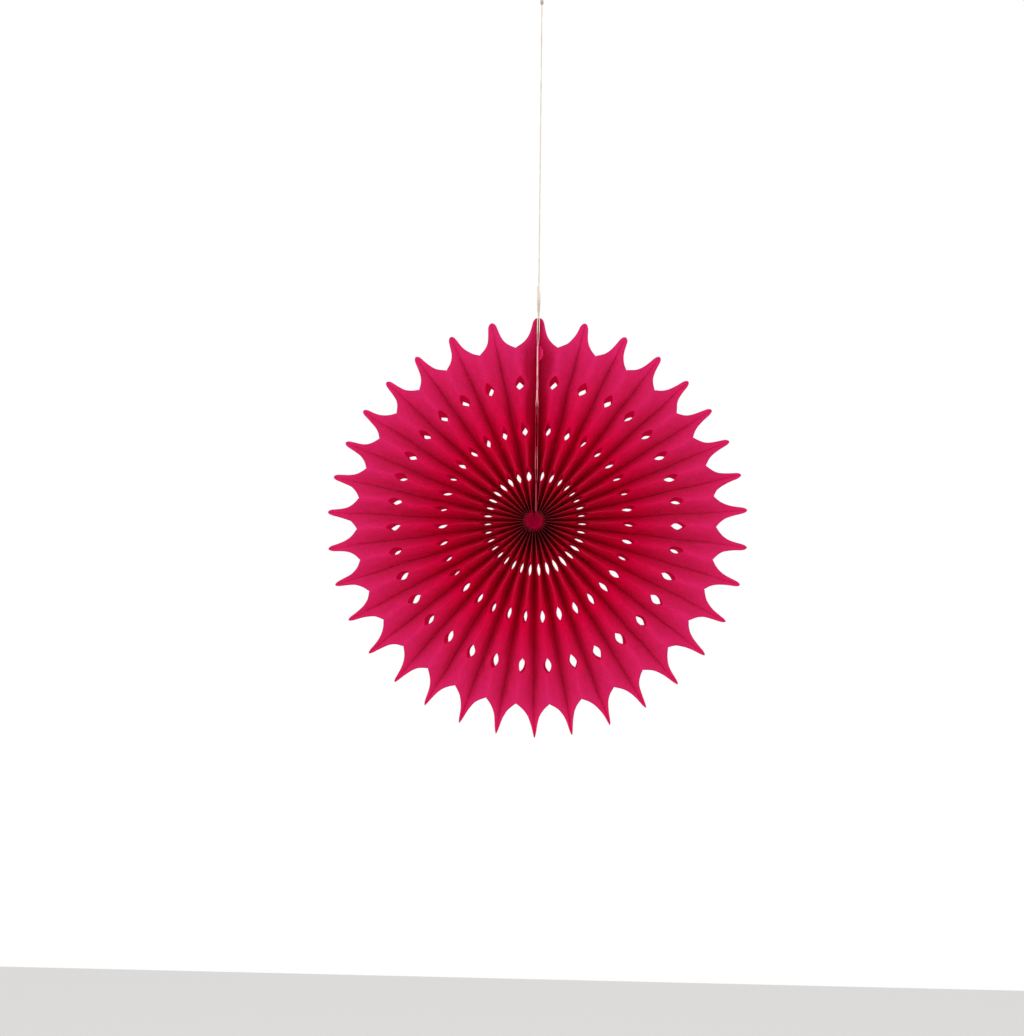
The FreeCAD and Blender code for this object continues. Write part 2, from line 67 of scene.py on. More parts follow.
def add_node(tree: bpy.types.NodeTree, kind: str, inputs: dict | None = None,
             **settings: object) -> bpy.types.Node:
    """Add a shader node with its settings, its values and its links.

    Args:
        tree: the node tree.
        kind: the node's type name.
        inputs: socket name or number to a value or to another node's output.
        settings: attributes of the node.

    Returns:
        The new node.
    """
    node = tree.nodes.new(kind)
    for name, value in settings.items():
        setattr(node, name, value)
    for name, value in (inputs or {}).items():
        if isinstance(value, bpy.types.NodeSocket):
            tree.links.new(value, node.inputs[name])
        else:
            node.inputs[name].default_value = value
    return node


def ramp(tree: bpy.types.NodeTree, factor: bpy.types.NodeSocket,
         stops: list[tuple[float, tuple]]) -> bpy.types.NodeSocket:
    """Colour ramp over a factor.

    Args:
        tree: the node tree.
        factor: what the ramp reads.
        stops: places from 0 to 1 and their colours.

    Returns:
        The ramp's colour output.
    """
    node = add_node(tree, "ShaderNodeValToRGB", {"Fac": factor})
    while len(node.color_ramp.elements) < len(stops):
        node.color_ramp.elements.new(0.5)
    for element, (place, shade) in zip(node.color_ramp.elements, stops):
        element.position = place
        element.color = shade
    return node.outputs["Color"]


def new_tree(name: str) -> tuple[bpy.types.Material, bpy.types.NodeTree, bpy.types.Node]:
    """Empty material with its output node.

    Args:
        name: the material's name.

    Returns:
        The material, its tree and the output node.
    """
    material = bpy.data.materials.new(name)
    material.use_nodes = True
    tree = material.node_tree
    tree.nodes.clear()
    return material, tree, add_node(tree, "ShaderNodeOutputMaterial")


def dress(piece: bpy.types.Object, node: str,
          material: bpy.types.Material | None = None) -> None:
    """Give a piece its finish and put it in the place of its node.

    Args:
        piece: the finished mesh object.
        node: the node that it replaces.
        material: the finish, or None where the piece has it already.
    """
    if material is not None:
        piece.data.materials.append(material)
    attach(piece, "root")
    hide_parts(node)


# Finishes

@dataclass(frozen=True)
class TissuePaper:
    """Dyed tissue, die-cut and glued in cells.

    Matt and soft, and thin enough that light from behind warms it: deep crimson in the pleats,
    with painted shade darkening the hub, most at its rim, and painted sheen making the panels
    pinker and paler towards the rim, with the cloudy look of short fibres. The real fibres are
    about 0.03 mm wide, so they are drawn coarser to show at all.
    """

    # The two hub colours paint the shade of the hub, darkest at its rim; the rim colour paints the
    # pink sheen of the outer panels.
    hub: str = "94002C"
    hub_rim_shade: str = "700A20"
    deep: str = "D0043E"
    middle: str = "D60650"
    rim: str = "CA307C"
    through: str = "FC228E"
    cut_edge: str = "5A1034"
    # Colour of the painted highlight on the glued ridge edges near the hub.
    glued_ridge_highlight: str = "9C4652"
    sheen_tint: str = "FF4C86"
    see_through: float = 0.55
    dye_radius: float = 185 * MM
    sheen_band: tuple[float, float] = (90 * MM, 180 * MM)
    crease_mm: float = 16.0
    cloud_mm: float = 9.0
    fibre_mm: float = 0.9

    def material(self) -> bpy.types.Material:
        """Material read from Object coordinates and the leaf_marks attribute."""
        material, tree, output = new_tree("crimson_tissue_paper_die_cut")
        place = add_node(tree, "ShaderNodeTexCoord").outputs["Object"]
        flat = add_node(tree, "ShaderNodeVectorMath", {0: place, 1: (1.0, 0.0, 1.0)},
                        operation="MULTIPLY")
        radius = add_node(tree, "ShaderNodeVectorMath", {0: flat.outputs["Vector"]},
                          operation="LENGTH")
        radial = add_node(tree, "ShaderNodeMapRange", {
            "Value": radius.outputs["Value"], "From Max": self.dye_radius})
        # Painted shade darkens the hub and painted sheen makes the rim pinker and paler.
        base = ramp(tree, radial.outputs["Result"], [
            (0.018, colour(self.hub)), (0.06, colour(self.hub_rim_shade)), (0.13, colour(self.deep)),
            (0.5, colour(self.middle)), (0.95, colour(self.rim))])
        clouds = add_node(tree, "ShaderNodeTexNoise", {
            "Vector": place, "Scale": 1 / (self.cloud_mm * MM), "Detail": 4.0,
            "Roughness": 0.6})
        fibres = add_node(tree, "ShaderNodeTexNoise", {
            "Vector": place, "Scale": 1 / (self.fibre_mm * MM), "Detail": 3.0,
            "Roughness": 0.7, "Distortion": 0.6})
        mottle = add_node(tree, "ShaderNodeMath", {
            0: clouds.outputs["Fac"], 1: fibres.outputs["Fac"]}, operation="ADD")
        shade = add_node(tree, "ShaderNodeMapRange", {
            "Value": mottle.outputs["Value"], "From Min": 0.7, "From Max": 1.3,
            "To Min": 0.9, "To Max": 1.1})
        # Mottled colour, still carrying the ramp's painted hub shade and rim sheen.
        dyed = add_node(tree, "ShaderNodeVectorMath", {
            0: base, "Scale": shade.outputs["Result"]}, operation="SCALE")
        marks = add_node(tree, "ShaderNodeAttribute", attribute_name="leaf_marks")
        parts = add_node(tree, "ShaderNodeSeparateColor", {"Color": marks.outputs["Color"]})
        # Green of leaf_marks paints a highlight on the glued ridge edges near the hub.
        glued = add_node(tree, "ShaderNodeMix", {
            0: parts.outputs["Green"], 6: dyed.outputs["Vector"], 7: colour(self.glued_ridge_highlight)},
            data_type="RGBA")
        cut = add_node(tree, "ShaderNodeMix", {
            0: parts.outputs["Red"], 6: glued.outputs[2], 7: colour(self.cut_edge)},
            data_type="RGBA")
        creases = add_node(tree, "ShaderNodeTexNoise", {
            "Vector": place, "Scale": 1 / (self.crease_mm * MM), "Detail": 2.0,
            "Roughness": 0.5, "Distortion": 1.2})
        folds = add_node(tree, "ShaderNodeBump", {
            "Height": creases.outputs["Fac"], "Strength": 0.5, "Distance": 0.004})
        bump = add_node(tree, "ShaderNodeBump", {
            "Height": mottle.outputs["Value"], "Strength": 0.25, "Distance": 0.0004,
            "Normal": folds.outputs["Normal"]})
        soft = add_node(tree, "ShaderNodeMapRange", {
            "Value": radius.outputs["Value"], "From Min": self.sheen_band[0],
            "From Max": self.sheen_band[1], "To Min": 0.02, "To Max": 0.6})
        front = add_node(tree, "ShaderNodeBsdfPrincipled", {
            "Base Color": cut.outputs[2], "Roughness": 0.75, "IOR": 1.4,
            "Specular IOR Level": 0.06, "Specular Tint": colour(self.sheen_tint),
            "Sheen Weight": soft.outputs["Result"], "Sheen Roughness": 0.5,
            "Sheen Tint": colour(self.sheen_tint), "Normal": bump.outputs["Normal"]})
        glow = add_node(tree, "ShaderNodeBsdfTranslucent", {
            "Color": colour(self.through), "Normal": bump.outputs["Normal"]})
        mixed = add_node(tree, "ShaderNodeMixShader", {
            0: self.see_through, 1: front.outputs[0], 2: glow.outputs[0]})
        tree.links.new(mixed.outputs[0], output.inputs["Surface"])
        return material


@dataclass(frozen=True)
class DyedCard:
    """Card dyed crimson on its faces and die-cut, so that its edge shows the pale core.

    The edge is painted crimson between the middle and the outer holes and dark rose by the hub.
    The clumps of pulp are drawn coarser than the real ones, so that they show.
    """

    face: str = "D01448"
    worn_face: str = "B80C38"
    core: str = "D8949A"
    crimson_core: str = "98182E"
    rose_core: str = "BC5060"
    inner_core: str = "86283A"
    bare_core: str = "E0D6C4"
    pulp_mm: float = 0.8
    board_top: float = 200 * MM

    def material(self) -> bpy.types.Material:
        """Material that tells face from cut edge by the direction of the surface."""
        material, tree, output = new_tree("dyed_card_die_cut")
        coords = add_node(tree, "ShaderNodeTexCoord")
        normal = add_node(tree, "ShaderNodeSeparateXYZ", {0: coords.outputs["Normal"]})
        facing = add_node(tree, "ShaderNodeMath", {0: normal.outputs["X"]},
                          operation="ABSOLUTE")
        pulp = add_node(tree, "ShaderNodeTexNoise", {
            "Vector": coords.outputs["Object"], "Scale": 1 / (self.pulp_mm * MM),
            "Detail": 4.0, "Roughness": 0.65})
        height = add_node(tree, "ShaderNodeSeparateXYZ", {0: coords.outputs["Object"]})
        along = add_node(tree, "ShaderNodeMapRange", {
            "Value": height.outputs["Z"], "From Max": self.board_top})
        core = ramp(tree, along.outputs["Result"], [
            (0.2, colour(self.inner_core)), (0.24, colour(self.rose_core)),
            (0.31, colour(self.rose_core)), (0.36, colour(self.crimson_core)),
            (0.55, colour(self.crimson_core)), (0.57, colour(self.core)),
            (0.91, colour(self.core)), (0.94, colour(self.bare_core))])
        face = ramp(tree, pulp.outputs["Fac"], [
            (0.3, colour(self.worn_face)), (0.7, colour(self.face))])
        shade = add_node(tree, "ShaderNodeMix", {
            0: facing.outputs["Value"], 6: core, 7: face}, data_type="RGBA")
        bump = add_node(tree, "ShaderNodeBump", {
            "Height": pulp.outputs["Fac"], "Strength": 0.3, "Distance": 0.0001})
        body = add_node(tree, "ShaderNodeBsdfPrincipled", {
            "Base Color": shade.outputs[2], "Roughness": 0.8, "IOR": 1.45,
            "Specular IOR Level": 0.06, "Normal": bump.outputs["Normal"]})
        tree.links.new(body.outputs[0], output.inputs["Surface"])
        return material


@dataclass(frozen=True)
class MountingTape:
    """Foam mounting tape, slit from a roll: white, dull and full of tiny closed cells."""

    foam: str = "E8E4DC"
    shade: str = "CFC9BE"
    cell_mm: float = 0.3

    def material(self) -> bpy.types.Material:
        """Material with the foam's cells as bump."""
        material, tree, output = new_tree("white_foam_mounting_tape")
        place = add_node(tree, "ShaderNodeTexCoord").outputs["Object"]
        cells = add_node(tree, "ShaderNodeTexVoronoi", {
            "Vector": place, "Scale": 1 / (self.cell_mm * MM)})
        tone = ramp(tree, cells.outputs["Distance"], [
            (0.1, colour(self.shade)), (0.7, colour(self.foam))])
        bump = add_node(tree, "ShaderNodeBump", {
            "Height": cells.outputs["Distance"], "Strength": 0.4, "Distance": 0.0001})
        body = add_node(tree, "ShaderNodeBsdfPrincipled", {
            "Base Color": tone, "Roughness": 0.85, "Normal": bump.outputs["Normal"]})
        tree.links.new(body.outputs[0], output.inputs["Surface"])
        return material


@dataclass(frozen=True)
class CottonThread:
    """Undyed cotton, spun and plied: off-white, with painted shade in the hollows between its
    hairs.

    A real hair is about 0.02 mm thick, so the hairs are drawn coarser to show.
    """

    light: str = "DCD0C0"
    dark: str = "A49684"
    hair_mm: float = 0.18
    slubs_per_metre: float = 60.0

    def material(self) -> bpy.types.Material:
        """Material with fine hairs drawn along the strand by stretched noise."""
        material, tree, output = new_tree("undyed_cotton_thread_plied")
        place = add_node(tree, "ShaderNodeTexCoord").outputs["Object"]
        stretched = add_node(tree, "ShaderNodeMapping", {
            "Vector": place, "Scale": (1.0, 1.0, 0.25)})
        hairs = add_node(tree, "ShaderNodeTexNoise", {
            "Vector": stretched.outputs["Vector"], "Scale": 1 / (self.hair_mm * MM),
            "Detail": 3.0, "Roughness": 0.6})
        slubs = add_node(tree, "ShaderNodeTexNoise", {
            "Vector": place, "Scale": self.slubs_per_metre})
        mixed = add_node(tree, "ShaderNodeMath", {
            0: hairs.outputs["Fac"], 1: slubs.outputs["Fac"]}, operation="MULTIPLY")
        # The dark end paints shade in the hollows between the hairs.
        tone = ramp(tree, mixed.outputs["Value"], [
            (0.12, colour(self.dark)), (0.36, colour(self.light))])
        bump = add_node(tree, "ShaderNodeBump", {
            "Height": hairs.outputs["Fac"], "Strength": 0.5, "Distance": 0.0001})
        body = add_node(tree, "ShaderNodeBsdfPrincipled", {
            "Base Color": tone, "Roughness": 0.9, "Sheen Weight": 0.3,
            "Normal": bump.outputs["Normal"]})
        tree.links.new(body.outputs[0], output.inputs["Surface"])
        return material


# Mesh helpers

@dataclass
class MeshParts:
    """Vertices, quads and vertex marks of several grids that become one mesh."""

    points: list[np.ndarray] = field(default_factory=list)
    quads: list[np.ndarray] = field(default_factory=list)
    marks: list[np.ndarray] = field(default_factory=list)
    total: int = 0

    def add_grid(self, grid: np.ndarray, marks: np.ndarray | None = None,
                 wrap: bool = False, flip: bool = False) -> None:
        """Add a grid of points, each square of neighbours as one quad.

        Args:
            grid: points of shape (rows, columns, 3).
            marks: colours of shape (rows, columns, 4), or None.
            wrap: True if the last column joins the first.
            flip: True if the quads face the other way.
        """
        rows, columns = grid.shape[:2]
        numbers = self.total + np.arange(rows * columns).reshape(rows, columns)
        if wrap:
            numbers = np.concatenate([numbers, numbers[:, :1]], axis=1)
        quads = np.stack([numbers[:-1, :-1], numbers[:-1, 1:], numbers[1:, 1:],
                          numbers[1:, :-1]], axis=-1).reshape(-1, 4)
        self.points.append(grid.reshape(-1, 3))
        self.quads.append(quads[:, ::-1] if flip else quads)
        if marks is not None:
            self.marks.append(marks.reshape(-1, 4))
        self.total += rows * columns

    def object(self, name: str) -> bpy.types.Object:
        """The mesh object of everything added so far.

        Args:
            name: the piece's name.

        Returns:
            The new object, linked to the scene.
        """
        points = np.concatenate(self.points)
        quads = np.concatenate(self.quads)
        mesh = bpy.data.meshes.new(name)
        mesh.vertices.add(len(points))
        mesh.vertices.foreach_set("co", points.astype(np.float32).ravel())
        mesh.loops.add(quads.size)
        mesh.loops.foreach_set("vertex_index", quads.astype(np.int32).ravel())
        mesh.polygons.add(len(quads))
        mesh.polygons.foreach_set("loop_start", np.arange(0, quads.size, 4, dtype=np.int32))
        mesh.update(calc_edges=True)
        mesh.polygons.foreach_set("use_smooth", np.ones(len(quads), dtype=bool))
        if self.marks:
            layer = mesh.color_attributes.new("leaf_marks", "FLOAT_COLOR", "POINT")
            layer.data.foreach_set("color",
                                   np.concatenate(self.marks).astype(np.float32).ravel())
        mesh.validate()
        piece = bpy.data.objects.new(name, mesh)
        bpy.context.scene.collection.objects.link(piece)
        return piece


def smooth_step(low: float, high: float, value: np.ndarray) -> np.ndarray:
    """Rise from 0 at low to 1 at high, as 3 s squared minus 2 s cubed."""
    share = np.clip((value - low) / (high - low), 0.0, 1.0)
    return share * share * (3.0 - 2.0 * share)


@dataclass(frozen=True)
class SeamLean:
    """How the end boards lean towards each other, where nothing holds them apart."""

    most: float = 0.58 * MM
    depth_band: tuple[float, float] = (6 * MM, 22 * MM)
    outer_band: tuple[float, float] = (112 * MM, 122 * MM)
    inner_band: tuple[float, float] = (40 * MM, 50 * MM)

    def at(self, radius: np.ndarray, depth: np.ndarray) -> np.ndarray:
        """Lean of a board at a radius and a depth.

        The boards lie on the thread and the tape at mid depth and lean in by nearly half of
        their gap towards their back edge. Towards their front edge they do so beyond the
        outer band and inside the inner one, each with a smooth step.
        """
        outside = smooth_step(*self.outer_band, radius)
        inside = 1 - smooth_step(*self.inner_band, radius)
        front = (outside + inside) * smooth_step(*self.depth_band, -depth)
        return self.most * (front + smooth_step(*self.depth_band, depth))


def mirrored(half: np.ndarray, turned: np.ndarray) -> np.ndarray:
    """Columns of a whole leaf: the back half from its edge inwards, then the front half."""
    return np.concatenate([turned[:, :0:-1], half], axis=1)


# The fan

class Face(Enum):
    """Face of the fan that a half leaf belongs to, by its direction along Y."""

    FRONT = -1
    BACK = 1


@dataclass(frozen=True)
class FanSizes:
    """Sizes of the fan in metres, the same as in its solids."""

    tip_radius: float = 200 * MM
    spike_length: float = 32.5 * MM
    spike_tip_half: float = 2.9 * MM
    tip_rounding: float = 5 * MM
    spike_taper: float = 7 * MM
    spike_flare: float = 4.4
    half_width: float = 25 * MM
    cell_count: int = 34
    seam_opening: float = 0.15
    seam_fade: float = 1.5
    double_sway: float = 1.0
    triple_sway: float = 0.65
    skew_sway: float = 0.37
    seam_half: float = 1.32 * MM
    ring_radii: tuple[float, float, float] = (44.5 * MM, 88 * MM, 133 * MM)
    hole_halves: tuple[float, float, float] = (7.2 * MM, 7 * MM, 7 * MM)
    notch_depths: tuple[float, float, float] = (11 * MM, 8 * MM, 7.2 * MM)
    leaf_start: float = 6 * MM
    station_step: float = 4.5 * MM
    hole_stations: int = 15
    notch_stations: int = 7
    spike_stations: int = 20

    def spike_angles(self) -> np.ndarray:
        """Angles of the spikes, clockwise from the seam.

        Each cell takes the share 1 + opening * exp(-steps from the seam / fade) of the circle.
        Opening by hand then moves the spikes by double * sin 2a + triple * sin 3a
        + skew * (cos 2a - 1) degrees.

        Returns:
            One angle more than there are cells, from 0 to a full turn.
        """
        cells = np.arange(self.cell_count)
        steps = np.minimum(cells, self.cell_count - 1 - cells)
        shares = 1 + self.seam_opening * np.exp(-steps / self.seam_fade)
        even = np.concatenate([[0.0], np.cumsum(shares)]) * 2 * math.pi / shares.sum()
        sway = (self.double_sway * np.sin(2 * even) + self.triple_sway * np.sin(3 * even)
                + self.skew_sway * (np.cos(2 * even) - 1))
        return even + np.radians(sway)

    def bearing(self, angle: float, radius: np.ndarray) -> np.ndarray:
        """Angle at a radius once the seam has taken its room.

        With s = asin(seam half / radius): s + angle * (pi - s) / pi.
        """
        seam = np.arcsin(np.clip(self.seam_half / radius, -1, 1))
        return seam + angle * (math.pi - seam) / math.pi

    def edge_share(self, radius: np.ndarray) -> np.ndarray:
        """Share of the half width that the leaf reaches at each radius.

        Holes take depth * (1 - x squared), x from -1 to 1 along the hole. With t the
        drop below the tip as a share of the spike's length, the spike's half width is
        tip + taper * t + rest * t to the power flare, rounded at its end.
        """
        share = np.ones_like(radius)
        for ring, half, depth in zip(self.ring_radii, self.hole_halves, self.notch_depths):
            along = np.clip(np.abs(radius - ring) / half, 0, 1)
            share = np.minimum(share, 1 - depth / self.half_width * (1 - along ** 2))
        drop = np.clip(self.tip_radius - radius, 0, self.spike_length)
        part = drop / self.spike_length
        rest = self.half_width - self.spike_tip_half - self.spike_taper
        flank = self.spike_tip_half + self.spike_taper * part + rest * part ** self.spike_flare
        near = np.clip(drop / self.tip_rounding, 0, 1)
        flank = flank * np.sqrt(np.clip(1 - (1 - near) ** 2, 0, 1))
        inside = radius > self.tip_radius - self.spike_length
        return np.where(inside, np.minimum(share, flank / self.half_width), share)

    def stations(self) -> np.ndarray:
        """Radii of the grid lines across a leaf, close together at the holes and the spike."""
        runs = []
        start = self.leaf_start
        for ring, half in zip(self.ring_radii, self.hole_halves):
            count = max(4, round((ring - half - start) / self.station_step))
            runs.append(np.linspace(start, ring - half, count, endpoint=False))
            turn = np.linspace(-1, 1, self.hole_stations)[:-1]
            runs.append(ring + half * np.sign(turn) * np.abs(turn) ** 1.15)
            start = ring + half
        notch = self.tip_radius - self.spike_length
        runs.append(np.linspace(start, notch, self.notch_stations, endpoint=False))
        turn = np.linspace(0, 1, self.spike_stations)
        runs.append(notch + self.spike_length * (turn - 0.09 * np.sin(2 * math.pi * turn)))
        return np.concatenate(runs)


@dataclass
class Waviness:
    """Slow sideways wander of a fold along its length, seeded by the fold's number."""

    seed: int
    amplitude: float
    waves: tuple[float, ...] = (70 * MM, 43 * MM, 27 * MM)

    def along(self, radius: np.ndarray) -> np.ndarray:
        """Sum of sines of falling size over the radius, from -1 to 1, times the amplitude."""
        draw = np.random.default_rng(self.seed)
        total = np.zeros_like(radius)
        for number, wave in enumerate(self.waves):
            size = draw.uniform(0.4, 1.0) / (1 + number)
            total = total + size * np.sin(2 * math.pi * radius / wave
                                          + draw.uniform(0, 2 * math.pi))
        return self.amplitude * total / 1.5


@dataclass
class PleatedLeaves:
    """The glued stack of tissue leaves, opened full circle."""

    sizes: FanSizes = field(default_factory=FanSizes)
    paper: TissuePaper = field(default_factory=TissuePaper)
    sheet_thickness: float = 0.1 * MM
    glue_gap: float = 0.01 * MM
    fin_shares: tuple[float, float] = (0.05, 0.012)
    fin_band: tuple[float, float] = (90 * MM, 140 * MM)
    # Share and band of the painted highlight on the ridge edges, fading out from the hub.
    ridge_highlight_share: float = 0.93
    ridge_highlight_band: tuple[float, float] = (30 * MM, 100 * MM)
    half_columns: int = 10
    hub_shift: tuple[float, float] = (-1.7 * MM, 3.5 * MM)
    ridge_wander: float = 1.8 * MM
    valley_wander: float = 0.7 * MM
    wander_band: tuple[float, float] = (30 * MM, 100 * MM)
    wander_span: float = 9 * MM
    splay_up: float = 0.2
    close_down: float = 0.67
    ridge_sink: float = 1.1 * MM
    sink_band: tuple[float, float] = (6 * MM, 9 * MM)
    bulges: tuple[float, float] = (0.06, 0.5)
    bulge_band: tuple[float, float] = (70 * MM, 160 * MM)
    rounding: float = 0.5
    rounding_band: tuple[float, float] = (60 * MM, 130 * MM)
    ripples: int = 4
    ripple_share: float = 0.018
    ripple_slant: float = 2.2
    ripple_waves: tuple[float, float] = (16.0, 45.0)
    ripple_calm: float = 0.75
    calm_band: tuple[float, float] = (145 * MM, 175 * MM)
    board_face: float = 1.26 * MM
    end_start: float = 9.5 * MM
    curl_height: float = 161 * MM
    curl_half: float = 9.5 * MM
    curl_from: float = 0.82
    curl_reach: float = 6.2 * MM
    curl_lift: float = 1 * MM
    lean: SeamLean = field(default_factory=SeamLean)
    piece_bounds: tuple[int, int] = (12, 22)

    def shift(self, radius: np.ndarray) -> tuple[np.ndarray, np.ndarray]:
        """Sideways and upward offset of the hub, fading evenly to 0 at the tips."""
        fade = 1 - radius / self.sizes.tip_radius
        return self.hub_shift[0] * fade, self.hub_shift[1] * fade

    def splay(self, radius: np.ndarray, angle: float) -> np.ndarray:
        """How far the free flanks of a spike stand open, because paper sags.

        With t from 0 at the tip to 1 at the notch, spikes that point up gain the share
        splay_up * (1 - t cubed) and spikes that point down lose close_down * (1 - t) squared.
        """
        sizes = self.sizes
        part = np.clip((sizes.tip_radius - radius) / sizes.spike_length, 0, 1)
        upward = math.cos(angle)
        return (1 + self.splay_up * max(upward, 0) * (1 - part ** 3)
                - self.close_down * max(-upward, 0) * (1 - part) ** 2)

    def columns(self, share: np.ndarray) -> np.ndarray:
        """Places across a half leaf at each station, from the valley (0) to the edge.

        The last columns lie close to the edge, so that its cut line and its glued fin are thin.
        """
        even = np.linspace(0, 1, self.half_columns + 1)
        eased = 1 - (1 - even) ** 1.25
        return share[:, None] * eased[None, :]

    def half_leaf(self, valley: int, cell: int, face: Face) -> tuple[np.ndarray, np.ndarray]:
        """Surface of the half leaf from a valley to a ridge on one face.

        At a radius r with the half angle h between valley and ridge, the span is r tan h and
        the depth of the ridge is the root of half width squared minus span squared. A point at
        the share s between them lies at span * s across. Its depth is that of the ridge times
        s + b (s - s squared), where the bulge b grows from the hub to the rim, mixed out there
        with 3 s squared - 2 s cubed, because the paper is soft and rounds its folds. Ridges
        and valleys wander a little, and a few slanting sine waves ripple the paper between.

        Args:
            valley: number of the spike whose middle line is the valley.
            cell: number of the cell whose ridge the leaf reaches.
            face: front or back.

        Returns:
            Points and marks of the grid, from the valley to the edge.
        """
        sizes = self.sizes
        angles = sizes.spike_angles()
        radius = sizes.stations()
        share = sizes.edge_share(radius)
        columns = self.columns(share)
        ridge_angle = (angles[cell] + angles[cell + 1]) / 2
        side = 1.0 if ridge_angle > angles[valley] else -1.0
        start = sizes.bearing(angles[valley], radius)
        end = sizes.bearing(ridge_angle, radius)
        half = np.abs(end - start)
        span = radius * np.tan(half)
        depth = np.sqrt(sizes.half_width ** 2 - span ** 2)
        depth = depth - self.ridge_sink * (1 - smooth_step(*self.sink_band, radius))
        at_seam = valley in (0, sizes.cell_count)
        loose = np.minimum(smooth_step(*self.wander_band, radius), span / self.wander_span)
        wander_ridge = loose * Waviness(1000 + cell * 2 + face.value,
                                        self.ridge_wander).along(radius)
        wander_valley = loose * Waviness(3000 + valley, self.valley_wander).along(radius)
        if at_seam:
            wander_valley = wander_valley * 0
        bulge = (self.bulges[0]
                 + self.bulges[1] * smooth_step(*self.bulge_band, radius))[:, None]
        soft = (self.rounding * smooth_step(*self.rounding_band, radius))[:, None]
        near, far = self.fin_shares
        fin = near + (far - near) * smooth_step(*self.fin_band, radius)[:, None]
        reach = np.clip(columns / (1 - fin), 0, 1)
        room = (span - self.glue_gap)[:, None]
        across = room * reach * self.splay(radius, angles[valley])[:, None] + self.glue_gap
        profile = (columns + bulge * (columns - columns ** 2)) * (1 - soft)
        out = depth[:, None] * (profile + soft * smooth_step(0, 1, columns))
        draw = np.random.default_rng(7000 + valley * 97 + cell * 13 + face.value)
        ripple = np.zeros_like(columns)
        for _ in range(self.ripples):
            wave = draw.uniform(*self.ripple_waves) * MM
            slant = draw.uniform(-self.ripple_slant, self.ripple_slant)
            ripple = ripple + np.sin(2 * math.pi * (radius[:, None] / wave + slant * columns)
                                     + draw.uniform(0, 6.28))
        calm = 1 - self.ripple_calm * smooth_step(*self.calm_band, radius)[:, None]
        across = across + self.ripple_share * ripple * calm * np.sin(math.pi * reach) * room
        turn = side * across
        valley_sway = wander_valley[:, None] * (1 - reach)
        ridge_sway = wander_ridge[:, None] * reach
        shift_x, shift_z = self.shift(radius)
        give = reach if at_seam else np.ones_like(reach)
        along = radius[:, None] * np.ones_like(columns)
        grid = np.stack([
            along * np.sin(start)[:, None] + (turn + valley_sway) * np.cos(start)[:, None]
            + ridge_sway * np.cos(end)[:, None] + shift_x[:, None] * give,
            face.value * out,
            along * np.cos(start)[:, None] - (turn + valley_sway) * np.sin(start)[:, None]
            - ridge_sway * np.sin(end)[:, None] + shift_z[:, None] * give,
        ], axis=-1)
        return grid, self.marks(radius, columns, share)

    def marks(self, radius: np.ndarray, columns: np.ndarray, share: np.ndarray) -> np.ndarray:
        """Red marks the cut edge of holes and spikes, green a painted highlight on the glued ridge
        edge near the hub.
        """
        whole = (share > 0.999)[:, None]
        share = share[:, None]
        cut = ~whole & (columns >= share - 1e-9)
        # Painted highlight on the glued ridge edges, strongest at the hub.
        bright = 1 - smooth_step(*self.ridge_highlight_band, radius)[:, None]
        glued = bright * (columns > self.ridge_highlight_share * share) * whole
        rest = np.zeros_like(columns)
        return np.stack([cut * 1.0, glued, rest, rest + 1.0], axis=-1)

    def whole_leaf(self, valley: int, cell: int) -> tuple[np.ndarray, np.ndarray]:
        """Both halves of a leaf as one grid, from the back edge over the valley to the front."""
        back, back_marks = self.half_leaf(valley, cell, Face.BACK)
        front, front_marks = self.half_leaf(valley, cell, Face.FRONT)
        return mirrored(front, back), mirrored(front_marks, back_marks)

    def build(self) -> list[bpy.types.Object]:
        """Three pieces: the leaves on the right, at the bottom and on the left."""
        material = self.paper.material()
        names = ("tissue_leaves_right", "tissue_leaves_lower", "tissue_leaves_left")
        count = self.sizes.cell_count
        bounds = (0, *self.piece_bounds, count)
        pieces = []
        for name, first, last in zip(names, bounds[:-1], bounds[1:]):
            parts = MeshParts()
            for cell in range(first, last):
                for valley in (cell, cell + 1):
                    grid, marks = self.whole_leaf(valley, cell)
                    parts.add_grid(grid, marks, flip=valley == cell)
            if first == 0:
                parts.add_grid(*self.end_leaf(1))
            if last == count:
                parts.add_grid(*self.end_leaf(-1), flip=True)
            piece = parts.object(name)
            wall = piece.modifiers.new("sheet", "SOLIDIFY")
            wall.thickness = self.sheet_thickness
            wall.offset = 0.0
            wall.use_rim = True
            piece.data.materials.append(material)
            pieces.append(piece)
        return pieces

    def flat_leaf(self, side: int, middle_x: float, start: float) -> np.ndarray:
        """Flat outline of a leaf in the seam, at a distance from its middle plane.

        Args:
            side: 1 on the right, -1 on the left.
            middle_x: distance from the seam's middle plane at mid depth.
            start: lowest radius.

        Returns:
            Points of the grid, from the back edge to the front edge.
        """
        sizes = self.sizes
        radius = sizes.stations()
        radius = np.concatenate([[start], radius[radius > start]])
        half = self.columns(sizes.edge_share(radius))
        depth = -sizes.half_width * mirrored(half, -half)
        across = side * (middle_x - self.lean.at(radius[:, None], depth))
        height = radius[:, None] * np.ones_like(depth)
        return np.stack([across, depth, height], axis=-1)

